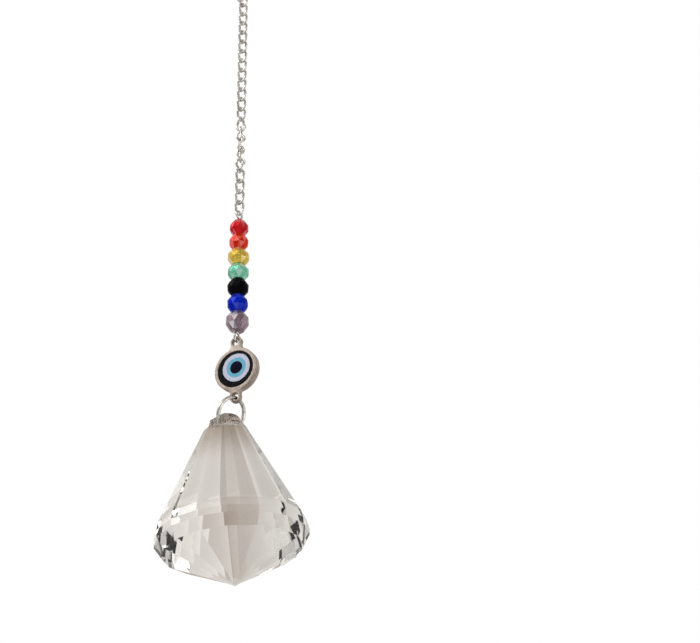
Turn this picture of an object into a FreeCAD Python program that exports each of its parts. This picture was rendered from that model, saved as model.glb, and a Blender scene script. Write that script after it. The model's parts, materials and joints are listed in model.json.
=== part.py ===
import FreeCAD, Part
import math
import os
from FreeCAD import Rotation, Vector

# An evil eye ornament that hangs from a ring: a curb chain, seven faceted beads on an eye pin,
# a round eye in a metal setting, a jump ring and a cut glass drop.
# Millimetres and degrees. +Z is up, the eye faces -Y, and the inside top of the hanging ring,
# where a hook carries it all, is the origin.

# --- driving sizes --------------------------------------------------------------------------
RING_INSIDE = 9.0             # hanging ring, inside diameter
RING_WIRE = 1.0

LINK_COUNT = 22
LINK_PITCH = 3.75             # from one link to the next as the chain hangs
LINK_INSIDE = 1.24            # width inside a link, seen face on
LINK_WIRE = 0.72              # six-sided wire, across its flats
LINK_TWIST = 60.0             # between a link's two end bows, seen from above
CHAIN_YAW = 20.0              # the way the flat of the upper chain faces
TURN_FIRST_LINK = 14          # the chain makes half a turn over these links
TURN_LINKS = 6

PIN_WIRE = 0.7
PIN_BEND = 0.5                # radius of the small bend under each loop
PIN_LOOP_TOP = 1.15           # loop radii, to the middle of the wire
PIN_LOOP_BOTTOM = 1.4
PIN_LOOP_SWEEP = 312.0        # how far round the wire goes
BEAD_SLACK = 0.6              # free length of pin above the top bead

BEAD_NAMES = ("red", "orange", "gold", "mint", "black", "blue", "purple")
BEAD_DIAMETERS = (5.5, 5.55, 6.25, 6.1, 6.1, 5.9, 6.5)
BEAD_HEIGHTS = (4.7, 4.75, 5.1, 4.75, 5.05, 5.3, 5.8)
BEAD_SIDES = 10
BEAD_TABLE = 0.52             # width of a bead's end face, as a share of its diameter
BEAD_BELT = 0.3               # height of the belt of side facets, as a share of its height
BEAD_TURN = 11.0              # each bead is turned this much from the one above it

DISC_DIAMETER = 12.8          # eye setting
DISC_THICKNESS = 2.4
DISC_RIM = 1.0
DISC_EDGE = 0.3               # bevel of the back edge
POCKET_DEPTH = 0.9            # pocket that holds the enamel
TAB_OUT = 1.85                # from the edge of the disc to the middle of a tab's hole
TAB_DIAMETER = 3.4
TAB_HOLE = 2.1
TAB_THICKNESS = 1.4
TAB_FILLET = 1.6              # hollow curve between a tab and the disc

EYE_WHITE = 8.3               # enamel rings, outside diameters
EYE_BLUE = 5.85
EYE_PUPIL = 3.7
EYE_INLAY_DEPTH = 0.35        # thickness of the inner rings, let into the black ground
EYE_SHIFT = (0.3, 0.35)       # the rings sit a little off the middle of the ground

JUMP_WIRE = 1.1
JUMP_RADIUS = 4.5             # to the middle of the wire
JUMP_YAW = 73.0               # the way its plane runs, from +X
JUMP_ROLL = 22.0              # the ring has rolled over about its own wire, in the tab's hole

CRYSTAL_SIDES = 16
CRYSTAL_TOP_RADIUS = 3.95     # radii at the corners of the facets
CRYSTAL_BANDS = (             # from the top down: height of the band, radius at its foot
    (3.9, 6.15),              # neck
    (23.4, 17.8),             # flutes
    (3.6, 19.5),              # shoulder facets
    (2.2, 20.0),              # upper bevel of the girdle
    (1.8, 20.0),              # girdle
    (2.9, 18.2),              # lower bevel
    (7.5, 2.8),               # pavilion
    (1.6, 0.0),               # point
)
CRYSTAL_NECK_FLATS = 6.0      # across the two flats that the hole goes through
CRYSTAL_HOLE = 2.8
CRYSTAL_OVER_HOLE = 1.2       # glass above the hole
CRYSTAL_EDGE_TURN = 42.0      # from the hole's line to the facet edge at the front
CRYSTAL_ASIDE = 0.7           # the hole is drilled this far off the axis of the facets
CRYSTAL_LEAN = 6.2            # the drop hangs askew on its ring, turned about its hole

# how finely bent wire is faceted
WIRE_SIDES = 8
BOW_STEPS = 8                 # straight runs round a link's bow
SIDE_STEPS = 2                # and in half of one side
BEND_STEPS = 3
LOOP_STEPS = 14

# --- named clearances -----------------------------------------------------------------------
LINK_GAP = 0.18               # between two links where one hangs on the other
SEAT_GAP = 0.2                # under a loop or ring where a piece hangs on it
BEAD_GAP = 0.05               # between one bead and the next
BORE_CLEARANCE = 0.05         # round the pin, in a bead's bore

# --- sizes that follow ----------------------------------------------------------------------
LINK_CORNER = LINK_WIRE / 2 / math.cos(math.radians(30))
BOW_RADIUS = (LINK_INSIDE / 2 + LINK_CORNER) / math.cos(math.radians(LINK_TWIST / 2))
SIDE_HALF = (LINK_PITCH + LINK_WIRE + LINK_GAP) / 2 - BOW_RADIUS
SIDE_SHIFT = BOW_RADIUS * math.sin(math.radians(LINK_TWIST / 2))
SIDE_TURN = 2 * math.degrees(math.atan(SIDE_SHIFT / SIDE_HALF))
SIDE_RADIUS = SIDE_HALF / math.sin(math.radians(SIDE_TURN))

LINK_SECTION = [Vector(LINK_CORNER * math.cos(math.radians(60 * i)),
                       LINK_CORNER * math.sin(math.radians(60 * i)), 0) for i in range(6)]

RING_YAW = CHAIN_YAW + LINK_TWIST / 2 + 90
CHAIN_TOP = -RING_INSIDE + LINK_GAP
CHAIN_BOTTOM = CHAIN_TOP - LINK_COUNT * LINK_PITCH


def unit(yaw):
    """Level unit vector at an angle from +X."""
    return Vector(math.cos(math.radians(yaw)), math.sin(math.radians(yaw)), 0)


def link_yaw(index):
    """Yaw of a link, counted from 1: the chain turns half round over TURN_LINKS steps."""
    steps = min(max(index - TURN_FIRST_LINK + 1, 0), TURN_LINKS)
    return CHAIN_YAW + 180.0 * steps / TURN_LINKS


def link_contact(index):
    """Height where a link hangs on the piece above it."""
    return CHAIN_TOP - (index - 1) * LINK_PITCH


# the eye pin: its loops, and the straight run that carries the beads
PIN_TOP_YAW = link_yaw(LINK_COUNT) - LINK_TWIST / 2 + 90
PIN_BOTTOM_YAW = 90.0
PIN_TOP_CENTRE = CHAIN_BOTTOM - (PIN_LOOP_TOP - PIN_WIRE / 2)


def loop_rise(loop_radius):
    """From the end of the straight run to the middle of a loop that is centred over it."""
    return math.sqrt((PIN_BEND + loop_radius) ** 2 - PIN_BEND ** 2)


STRAIGHT_TOP = PIN_TOP_CENTRE - loop_rise(PIN_LOOP_TOP)
BEADS_TOP = STRAIGHT_TOP - BEAD_SLACK
STRAIGHT_BOTTOM = BEADS_TOP - sum(BEAD_HEIGHTS) - len(BEAD_HEIGHTS) * BEAD_GAP
PIN_BOTTOM_CENTRE = STRAIGHT_BOTTOM - loop_rise(PIN_LOOP_BOTTOM)


def seat_drop(inside_radius, half_width):
    """How far below a ring's middle a plate of that half width comes to rest inside it."""
    return math.sqrt(inside_radius ** 2 - half_width ** 2)


TAB_REACH = DISC_DIAMETER / 2 + TAB_OUT
TOP_HOLE = (PIN_BOTTOM_CENTRE - seat_drop(PIN_LOOP_BOTTOM - PIN_WIRE / 2, TAB_THICKNESS / 2)
            + SEAT_GAP - TAB_HOLE / 2)
DISC_CENTRE = TOP_HOLE - TAB_REACH
BOTTOM_HOLE = DISC_CENTRE - TAB_REACH
DISC_FRONT = -TAB_THICKNESS / 2

JUMP_INSIDE = JUMP_RADIUS - JUMP_WIRE / 2
JUMP_HALF_WIDTH = TAB_THICKNESS / 2 / math.sin(math.radians(JUMP_YAW))
JUMP_CENTRE = BOTTOM_HOLE - TAB_HOLE / 2 - seat_drop(JUMP_INSIDE, JUMP_HALF_WIDTH) + SEAT_GAP

HOLE_CENTRE = (JUMP_CENTRE - seat_drop(JUMP_INSIDE, CRYSTAL_NECK_FLATS / 2)
               + SEAT_GAP - CRYSTAL_HOLE / 2)
CRYSTAL_TOP = HOLE_CENTRE + CRYSTAL_HOLE / 2 + CRYSTAL_OVER_HOLE
JUMP_TOP = JUMP_CENTRE + JUMP_RADIUS


def save(name, shape):
    """Write one sub-part."""
    shape.exportStep("parts/" + name + ".step")


def turned(shape, centre, axis, angle):
    """A copy, turned about a line."""
    copy = shape.copy()
    copy.rotate(centre, axis, angle)
    return copy


def flat_face(points):
    """A flat face with the given corners."""
    return Part.Face(Part.makePolygon(points + [points[0]]))


def faceted_solid(faces):
    """A closed solid from flat faces."""
    shell = Part.makeShell(faces)
    shell.sewShape()
    solid = Part.Solid(shell)
    if solid.Volume < 0:
        solid.reverse()
    return solid


def corners(count, radius, height, first):
    """Corners of a level regular polygon, the first at an angle from +X."""
    return [unit(first + 360.0 * i / count) * radius + Vector(0, 0, height)
            for i in range(count)]


# --- bent wire ------------------------------------------------------------------------------
def tangent_corners(centre, start, axis, angle, steps):
    """Corners of the straight runs that touch an arc; the first and last runs leave the arc
    along its ends. start is a point on the arc, seen from its centre."""
    step = angle / steps
    reach = start * (1 / math.cos(math.radians(step / 2)))
    return [centre + Rotation(axis, step * (i + 0.5)).multVec(reach) for i in range(steps)]


def mitred_wire(path, section, closed):
    """Solid wire along straight runs, mitred at each corner so that every face is flat.
    section holds the corners of the wire about the path, square to the first run."""
    count = len(path)
    ways = [(path[(i + 1) % count] - path[i]).normalize() for i in range(count)]

    def carried(points, corner, along):
        """The points, slid along a run to the mitre at a corner of the path."""
        way_in = ways[corner - 1] if closed or corner else ways[0]
        way_out = ways[corner] if closed or corner < count - 1 else way_in
        mitre = way_in + way_out
        return [point + along * (mitre.dot(path[corner] - point) / mitre.dot(along))
                for point in points]

    rows = [carried([path[0] + corner for corner in section], 0, ways[0])]
    for i in range(1, count):
        rows.append(carried(rows[-1], i, ways[i - 1]))
    sides = len(section)
    if closed:
        # round a path that isn't flat, the section comes back turned by some of its corners
        back = carried(rows[-1], 0, ways[-1])
        lag = min(range(sides), key=lambda k: (rows[0][k] - back[0]).Length)
        rows.append([rows[0][(k + lag) % sides] for k in range(sides)])
        faces = []
    else:
        faces = [flat_face(rows[0]), flat_face(rows[-1])]
    for here, there in zip(rows, rows[1:]):
        for k in range(sides):
            after = (k + 1) % sides
            faces.append(flat_face([here[k], here[after], there[after], there[k]]))
    return faceted_solid(faces)


def round_ring(radius, wire, height, yaw):
    """Upright ring of wire about the Z axis, its plane running along a yaw. The wire's section
    has WIRE_SIDES flats."""
    corner = wire / 2 / math.cos(math.pi / WIRE_SIDES)
    across = unit(yaw)
    middle = Vector(0, 0, height)
    section = []
    for i in range(WIRE_SIDES):
        turn = 2 * math.pi * (i + 0.5) / WIRE_SIDES
        section.append(middle + across * (radius + corner * math.cos(turn))
                       + unit(yaw + 90) * (corner * math.sin(turn)))
    return flat_face(section).revolve(middle, unit(yaw + 90), 360)


# --- chain ----------------------------------------------------------------------------------
def curb_link():
    """A curb link about its own middle: two half-round bows, turned apart about the chain's
    line, and two sides that lean across from one bow to the other in a soft S."""
    across = BOW_RADIUS * math.cos(math.radians(LINK_TWIST / 2))
    x_axis = Vector(1, 0, 0)
    lean = Vector(0, SIDE_RADIUS, 0)
    foot = Vector(across, -SIDE_SHIFT, -SIDE_HALF)
    side_low = tangent_corners(foot + lean, -lean, x_axis, -SIDE_TURN, SIDE_STEPS)
    half_turn = Rotation(x_axis, 180)
    side = side_low + [half_turn.multVec(point) for point in reversed(side_low)]
    bow = tangent_corners(Vector(0, 0, SIDE_HALF), unit(LINK_TWIST / 2) * BOW_RADIUS,
                          unit(LINK_TWIST / 2 - 90), 180, BOW_STEPS)
    far_side = [Rotation(Vector(0, 0, 1), 180).multVec(point) for point in reversed(side)]
    low_bow = [half_turn.multVec(point) for point in reversed(bow)]
    # the path starts with the upright run from the top of the side into the upper bow
    path = side[-1:] + bow + far_side + low_bow + side[:-1]
    return mitred_wire(path, LINK_SECTION, True)


def build_chain():
    """The hanging ring and the links below it."""
    save("hanging_ring", round_ring((RING_INSIDE + RING_WIRE) / 2, RING_WIRE,
                                    -RING_INSIDE / 2, RING_YAW))
    link = curb_link()
    for index in range(1, LINK_COUNT + 1):
        middle = link_contact(index) - (LINK_PITCH + LINK_GAP) / 2
        copy = turned(link, Vector(), Vector(0, 0, 1), link_yaw(index))
        copy.translate(Vector(0, 0, middle))
        save("chain_link_%02d" % index, copy)


# --- eye pin and beads ----------------------------------------------------------------------
def pin_end(end_height, loop_radius, yaw, up):
    """Corners of the small bend and the turned loop at one end of the pin's straight run,
    from the run outwards; up is 1 or -1."""
    side = unit(yaw)
    rise = Vector(0, 0, up)
    axis = side.cross(rise)
    start = Vector(0, 0, end_height)
    bend_angle = math.degrees(math.acos(PIN_BEND / (PIN_BEND + loop_radius)))
    bend = tangent_corners(start + side * PIN_BEND, side * -PIN_BEND, axis, -bend_angle,
                           BEND_STEPS)
    middle = start + rise * loop_rise(loop_radius)
    entry = Rotation(axis, -bend_angle).multVec(side) * loop_radius
    loop = tangent_corners(middle, entry, axis, PIN_LOOP_SWEEP, LOOP_STEPS)
    end = middle + Rotation(axis, PIN_LOOP_SWEEP).multVec(entry)
    return bend + loop + [end]


def build_pin():
    """Eye pin: a straight wire through the beads with a loop turned at each end."""
    top = pin_end(STRAIGHT_TOP, PIN_LOOP_TOP, PIN_TOP_YAW, 1)
    bottom = pin_end(STRAIGHT_BOTTOM, PIN_LOOP_BOTTOM, PIN_BOTTOM_YAW, -1)
    path = bottom[::-1] + top
    corner = PIN_WIRE / 2
    first_way = (path[1] - path[0]).normalize()
    level = unit(PIN_BOTTOM_YAW - 90)
    section = [Rotation(first_way, 360.0 * i / WIRE_SIDES).multVec(level * corner)
               for i in range(WIRE_SIDES)]
    save("eye_pin", mitred_wire(path, section, False))


def rondelle(diameter, height):
    """Faceted rondelle about its own middle: two small end faces, a zigzag belt of triangles
    round the widest part, and a zigzag of triangles from the belt to each end face."""
    step = 360.0 / BEAD_SIDES
    levels = (
        (diameter / 2 * BEAD_TABLE, height / 2, 0.0),
        (diameter / 2, height * BEAD_BELT / 2, step / 2),
        (diameter / 2, -height * BEAD_BELT / 2, 0.0),
        (diameter / 2 * BEAD_TABLE, -height / 2, step / 2),
    )
    rows = [corners(BEAD_SIDES, radius, z, first) for radius, z, first in levels]
    faces = [flat_face(rows[0]), flat_face(rows[-1])]
    for upper, lower, lag in ((rows[0], rows[1], 1), (rows[1], rows[2], 0), (rows[2], rows[3], 1)):
        for i in range(BEAD_SIDES):
            after = (i + 1) % BEAD_SIDES
            if lag:
                faces.append(flat_face([upper[i], upper[after], lower[i]]))
                faces.append(flat_face([lower[i], lower[after], upper[after]]))
            else:
                faces.append(flat_face([upper[i], upper[after], lower[after]]))
                faces.append(flat_face([lower[i], lower[after], upper[i]]))
    bore = Part.makeCylinder(PIN_WIRE / 2 + BORE_CLEARANCE, height * 2, Vector(0, 0, -height))
    return faceted_solid(faces).cut(bore)


def build_beads():
    """The beads, stacked from the top bead down."""
    top = BEADS_TOP
    for index, (name, diameter, height) in enumerate(
            zip(BEAD_NAMES, BEAD_DIAMETERS, BEAD_HEIGHTS)):
        bead = rondelle(diameter, height)
        bead.rotate(Vector(), Vector(0, 0, 1), BEAD_TURN * index)
        bead.translate(Vector(0, 0, top - height / 2))
        save("bead_" + name, bead)
        top -= height + BEAD_GAP


# --- eye setting ----------------------------------------------------------------------------
def front_disc(diameter, front, thickness, x=0.0, z=0.0):
    """A round plate whose front face looks towards -Y, about the middle of the setting."""
    return Part.makeCylinder(diameter / 2, thickness, Vector(x, front, DISC_CENTRE + z),
                             Vector(0, 1, 0))


def tab(up):
    """One tab: a round eye that flows into the disc through two hollow curves."""
    disc_radius = DISC_DIAMETER / 2
    tab_radius = TAB_DIAMETER / 2
    near = disc_radius + TAB_FILLET
    far = tab_radius + TAB_FILLET
    z = (near ** 2 - far ** 2 + TAB_REACH ** 2) / (2 * TAB_REACH)
    x = math.sqrt(near ** 2 - z ** 2)

    def outline_point(side, share, base):
        """Point of the outline on the line from base to a hollow's middle."""
        return Vector(side * x * share, DISC_FRONT, up * (base + (z - base) * share))

    on_disc = [outline_point(side, disc_radius / near, 0) for side in (1, -1)]
    on_tab = [outline_point(side, tab_radius / far, TAB_REACH) for side in (1, -1)]
    hollow = []
    for side in (0, 1):
        centre = Vector((1, -1)[side] * x, DISC_FRONT, up * z)
        middle = (on_disc[side] + on_tab[side]) * 0.5 - centre
        hollow.append(centre + middle.normalize() * TAB_FILLET)
    tip = Vector(0, DISC_FRONT, up * (TAB_REACH + tab_radius))
    edges = [
        Part.Arc(on_disc[0], hollow[0], on_tab[0]).toShape(),
        Part.Arc(on_tab[0], tip, on_tab[1]).toShape(),
        Part.Arc(on_tab[1], hollow[1], on_disc[1]).toShape(),
        Part.LineSegment(on_disc[1], on_disc[0]).toShape(),
    ]
    plate = Part.Face(Part.Wire(edges)).extrude(Vector(0, TAB_THICKNESS, 0))
    hole = Part.makeCylinder(TAB_HOLE / 2, TAB_THICKNESS * 3,
                             Vector(0, -TAB_THICKNESS * 1.5, up * TAB_REACH), Vector(0, 1, 0))
    plate = plate.cut(hole)
    plate.translate(Vector(0, 0, DISC_CENTRE))
    return plate


def build_eye():
    """The metal setting and the enamel rings let into it."""
    disc = front_disc(DISC_DIAMETER, DISC_FRONT, DISC_THICKNESS)
    back_edge = [edge for edge in disc.Edges
                 if edge.BoundBox.YMin > DISC_FRONT + DISC_THICKNESS / 2]
    disc = disc.makeChamfer(DISC_EDGE, back_edge)
    pocket = DISC_DIAMETER - 2 * DISC_RIM
    body = disc.fuse([tab(1), tab(-1)]).removeSplitter()
    save("eye_setting", body.cut(front_disc(pocket, DISC_FRONT - 1, POCKET_DEPTH + 1)))

    x, z = EYE_SHIFT
    ground = front_disc(pocket, DISC_FRONT, POCKET_DEPTH)
    white = front_disc(EYE_WHITE, DISC_FRONT, EYE_INLAY_DEPTH, x, z)
    blue = front_disc(EYE_BLUE, DISC_FRONT, EYE_INLAY_DEPTH, x, z)
    pupil = front_disc(EYE_PUPIL, DISC_FRONT, EYE_INLAY_DEPTH, x, z)
    save("eye_ground", ground.cut(white))
    save("eye_white_ring", white.cut(blue))
    save("eye_blue_ring", blue.cut(pupil))
    save("eye_pupil", pupil)


# --- jump ring and glass drop ---------------------------------------------------------------
# both are made upright under the tab, and the ring's roll is given to them after
def build_jump_ring():
    """The ring that joins the setting to the drop."""
    ring = round_ring(JUMP_RADIUS, JUMP_WIRE, JUMP_CENTRE, JUMP_YAW)
    save("jump_ring", turned(ring, Vector(0, 0, JUMP_TOP), unit(JUMP_YAW), JUMP_ROLL))


def build_crystal():
    """Cut glass drop: bands of flat facets round one axis, two flats cut into the neck, and a
    hole through the flats for the jump ring."""
    first = JUMP_YAW + 180 + CRYSTAL_EDGE_TURN
    radii = [CRYSTAL_TOP_RADIUS] + [radius for height, radius in CRYSTAL_BANDS]
    levels = [CRYSTAL_TOP]
    for height, radius in CRYSTAL_BANDS:
        levels.append(levels[-1] - height)
    rows = [corners(CRYSTAL_SIDES, radius, level, first)
            for radius, level in zip(radii, levels[:-1])]
    tip = Vector(0, 0, levels[-1])
    faces = [flat_face(rows[0])]
    for i in range(CRYSTAL_SIDES):
        after = (i + 1) % CRYSTAL_SIDES
        for upper, lower in zip(rows, rows[1:]):
            faces.append(flat_face([upper[i], upper[after], lower[after], lower[i]]))
        faces.append(flat_face([rows[-1][i], rows[-1][after], tip]))
    drop = faceted_solid(faces)
    drop.translate(unit(JUMP_YAW + 90) * CRYSTAL_ASIDE)

    # each flat is cut by a block that stands outside it, as high as the neck and over its top
    across = unit(JUMP_YAW)
    neck_height = CRYSTAL_BANDS[0][0]
    block = 4 * CRYSTAL_BANDS[0][1]
    for facing in (0, 180):
        slab = Part.makeBox(block, block, 2 * neck_height,
                            Vector(CRYSTAL_NECK_FLATS / 2, -block / 2, CRYSTAL_TOP - neck_height))
        slab.rotate(Vector(), Vector(0, 0, 1), JUMP_YAW + facing)
        drop = drop.cut(slab)
    hole = Part.makeCylinder(CRYSTAL_HOLE / 2, block,
                             Vector(0, 0, HOLE_CENTRE) - across * (block / 2), across)
    drop = drop.cut(hole)
    # the roll carries the hole aside with the ring; the drop itself keeps only its lean
    drop.rotate(Vector(0, 0, HOLE_CENTRE), across, -CRYSTAL_LEAN - JUMP_ROLL)
    save("crystal_drop", turned(drop, Vector(0, 0, JUMP_TOP), across, JUMP_ROLL))


os.makedirs("parts", exist_ok=True)
build_chain()
build_pin()
build_beads()
build_eye()
build_jump_ring()
build_crystal()
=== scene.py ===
import json
import math

import bmesh
import bpy
import numpy as np
from bpy.props import FloatProperty, FloatVectorProperty, IntProperty, PointerProperty
from mathutils import Matrix, Vector
from mathutils.geometry import tessellate_polygon


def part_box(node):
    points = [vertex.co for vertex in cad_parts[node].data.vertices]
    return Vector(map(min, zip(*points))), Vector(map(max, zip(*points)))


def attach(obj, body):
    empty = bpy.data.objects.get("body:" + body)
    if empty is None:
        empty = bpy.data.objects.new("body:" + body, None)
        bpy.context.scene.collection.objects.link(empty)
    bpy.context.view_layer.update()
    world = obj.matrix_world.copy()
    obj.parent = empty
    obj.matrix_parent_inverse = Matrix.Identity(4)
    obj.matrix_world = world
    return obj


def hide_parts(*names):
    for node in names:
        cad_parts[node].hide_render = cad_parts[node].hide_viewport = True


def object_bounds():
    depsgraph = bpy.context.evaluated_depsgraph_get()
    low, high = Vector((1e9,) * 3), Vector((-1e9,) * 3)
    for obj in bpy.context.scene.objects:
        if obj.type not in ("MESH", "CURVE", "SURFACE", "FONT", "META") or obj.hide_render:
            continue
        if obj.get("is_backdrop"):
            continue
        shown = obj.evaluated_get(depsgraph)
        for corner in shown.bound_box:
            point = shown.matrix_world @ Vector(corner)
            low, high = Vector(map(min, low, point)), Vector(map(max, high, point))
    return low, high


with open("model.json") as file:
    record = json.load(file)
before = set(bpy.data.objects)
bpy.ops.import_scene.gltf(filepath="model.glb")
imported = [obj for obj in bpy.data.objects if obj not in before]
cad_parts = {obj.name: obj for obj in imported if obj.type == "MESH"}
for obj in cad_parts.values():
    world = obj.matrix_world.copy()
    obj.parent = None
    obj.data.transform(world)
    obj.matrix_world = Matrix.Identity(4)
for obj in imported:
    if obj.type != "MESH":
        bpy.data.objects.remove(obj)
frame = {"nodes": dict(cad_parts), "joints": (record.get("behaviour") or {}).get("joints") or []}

bl_info = {
    "name": "Evil Eye Ornament",
    "version": (1, 0, 0),
    "blender": (4, 5, 0),
    "location": "View3D > Sidebar > Ornament",
    "description": "Wire, beads, enamelled eye and cut glass drop of a hanging ornament",
    "category": "Add Mesh",
}

UP = np.array([0.0, 0.0, 1.0])
JOINTS = {joint["name"]: joint for joint in frame["joints"]}
LINKS = sorted(name for name in frame["nodes"] if name.startswith("chain_link_"))
# each bead's metallic share, painted highlight on its palest facets and strength of its
# reflections
BEAD_SHINES_AND_HIGHLIGHTS = {"red": (0.3, 0.3, 0.1), "orange": (0.2, 0.2, 0.06), "gold": (0.6, 0.7, 0.3),
           "mint": (0.35, 0.6, 0.3), "black": (0.0, 0.0, 0.02), "blue": (0.25, 0.06, 0.03),
           "purple": (0.6, 0.8, 0.5)}
CORNER_SEED, SHADE_SEED = 3, 40    # random draws of the first bead; the next one adds 1
# each colour of the eye: piece, node, slot, its property and its flecks' linear colour
ENAMELS = (("ground", "eye_ground", "enamel_black", "ground", (0.012, 0.013, 0.014)),
           ("white", "eye_white_ring", "enamel_white", "white_ring", (0.62, 0.63, 0.75)),
           ("sky", "eye_blue_ring", "enamel_blue", "blue_ring", (0.2, 0.5, 0.66)),
           ("pupil", "eye_pupil", "enamel_navy", "pupil", (0.004, 0.004, 0.03)))
# each lamp: its name, its power's property, its side and its place from the middle, in metres
LAMPS = (("Key lamp", "key_power", 0.5, (-0.8, -0.5, 0.75)),
         ("Front lamp", "front_power", 0.9, (-0.4, -0.95, 0.45)),
         ("Fill lamp", "fill_power", 0.45, (0.2, -0.9, 0.6)),
         ("Right lamp", "right_power", 0.7, (1.05, -0.1, -0.24)))
# each worked finish: the scale of its handling marks and their roughness where clean and
# where dull, and the scale, strength, depth and stretch of its grain
FINISHES = {"wire": ((650.0, 0.14, 0.28), (5200.0, 0.35, 0.000006, 0.25)),
            "setting": ((260.0, 0.32, 0.42), (6000.0, 0.35, 0.00001, 1.0)),
            "bead": ((420.0, 0.1, 0.26), (2600.0, 0.1, 0.00002, 1.0)),
            "enamel": ((700.0, 0.12, 0.3), (520.0, 0.2, 0.00004, 1.0))}
# faces that meet at more than this keep the edge between them
FACET_TURN, METAL_TURN, ENAMEL_TURN = math.radians(8), math.radians(35), math.radians(50)


def length(name, description, millimetres):
    """A length property; the default is given in millimetres."""
    return FloatProperty(name=name, description=description, default=millimetres / 1000,
                         min=0.0, unit="LENGTH", precision=5)


def turn(name, description, degrees):
    """An angle property; the default is given in degrees."""
    return FloatProperty(name=name, description=description, default=math.radians(degrees),
                         unit="ROTATION")


def tint(name, description, red, green, blue):
    """A colour property; the default is given as screen values from 0 to 255."""
    linear = [(v / 255 / 12.92) if v < 10.3 else ((v / 255 + 0.055) / 1.055) ** 2.4
              for v in (red, green, blue)]
    return FloatVectorProperty(name=name, description=description, default=linear, size=3,
                               subtype="COLOR", min=0.0, max=1.0)


def share(name, description, value, top=1.0):
    """A plain number property."""
    return FloatProperty(name=name, description=description, default=value, min=0.0, max=top)


# ---- sizes and colours ----
class OrnamentWire(bpy.types.PropertyGroup):
    """Sizes of everything bent from wire."""
    link_wire: length("Link wire", "Thickness of a chain link's wire", 0.74)
    link_inside: length("Link inside", "Width inside a link, seen face on", 1.33)
    link_pitch: length("Link pitch", "From one link to the next", 3.75)
    link_gap: length("Link gap", "Play between two links where one hangs on the other", 0.16)
    link_twist: turn("Link twist", "Turn between a link's two bows", 60.0)
    chain_yaw: turn("Chain yaw", "The way the flat of the upper chain faces", 20.0)
    turn_first_link: IntProperty(name="First turned link", default=14,
                                 description="Where the chain's half turn starts")
    turn_links: IntProperty(name="Turned links", default=6,
                            description="Links over which the chain makes its half turn")
    ring_wire: length("Hanging ring wire", "Thickness of the hanging ring", 1.0)
    ring_inside: length("Hanging ring inside", "Inside diameter of the hanging ring", 9.0)
    pin_wire: length("Pin wire", "Thickness of the eye pin", 0.72)
    pin_bend: length("Pin bend", "Radius of the small bend under each loop", 0.5)
    pin_loop_top: length("Upper pin loop", "Radius to the middle of the wire", 1.15)
    pin_loop_bottom: length("Lower pin loop", "Radius to the middle of the wire", 1.4)
    pin_sweep: turn("Pin loop sweep", "How far round each loop is turned", 312.0)
    jump_wire: length("Jump ring wire", "Thickness of the jump ring", 1.1)
    jump_radius: length("Jump ring radius", "Radius to the middle of the wire", 4.5)
    jump_cut: turn("Jump ring cut", "Opening between the two ends of the jump ring", 1.2)
    jump_start: turn("Jump ring start", "Where the ends of the jump ring meet", -35.0)
    pin_end: share("Pin end", "Thickness of the pin's very ends, against the wire", 0.82)
    wire_sides: IntProperty(name="Wire sides", default=16, min=6,
                            description="Facets round the wire")


class OrnamentBeads(bpy.types.PropertyGroup):
    """Sizes of the faceted beads."""
    sides: IntProperty(name="Sides", default=10, min=5, description="Facets round a bead")
    table: share("Table", "Width of the end face as a share of the diameter", 0.6)
    belt: share("Belt", "Height of the belt of side facets as a share of the height", 0.34)
    bore: length("Bore", "Diameter of the hole through a bead", 0.8)
    edge: length("Edge", "Rounding of the facet edges", 0.14)
    unevenness: length("Unevenness", "How far a corner may lie from its place", 0.06)
    yaw_step: turn("Yaw step", "Turn from one bead to the next", 11.0)


class OrnamentEye(bpy.types.PropertyGroup):
    """Sizes of the eye and its setting."""
    disc: length("Disc", "Diameter of the setting", 12.8)
    rim: length("Rim", "Width of the metal rim", 1.0)
    disc_thickness: length("Disc thickness", "From front to back of the disc", 2.4)
    tab_thickness: length("Tab thickness", "From front to back of a tab", 1.4)
    tab_reach: length("Tab reach", "From the middle of the disc to a tab's hole", 8.25)
    tab: length("Tab", "Diameter of a tab", 3.4)
    tab_hole: length("Tab hole", "Diameter of the hole in a tab", 2.1)
    tab_hollow: length("Tab hollow", "Radius of the curve between tab and disc", 1.6)
    pocket: length("Pocket", "Depth of the pocket for the enamel", 0.9)
    edge: length("Edge", "Rounding of the metal's edges", 0.2)
    white: length("White ring", "Outside diameter", 8.3)
    blue: length("Blue ring", "Outside diameter", 5.85)
    pupil: length("Pupil", "Outside diameter", 3.7)
    shift_x: length("Shift across", "The rings sit this far off the middle", 0.3)
    shift_z: length("Shift up", "The rings sit this far above the middle", 0.35)
    dome: length("Dome", "Height of the enamel's dome over the rim", 0.12)
    sunk: length("Sunk", "How far the enamel's edge lies behind the rim", 0.04)
    seam: length("Seam", "Depth of the seam round each colour", 0.03)
    inner_depth: length("Inner depth", "Depth of the rings let into the ground", 0.35)
    floor_gap: length("Floor gap", "Between the ground and the pocket's floor", 0.02)
    waver: length("Waver", "Unevenness of the borders between colours", 0.05)


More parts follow.
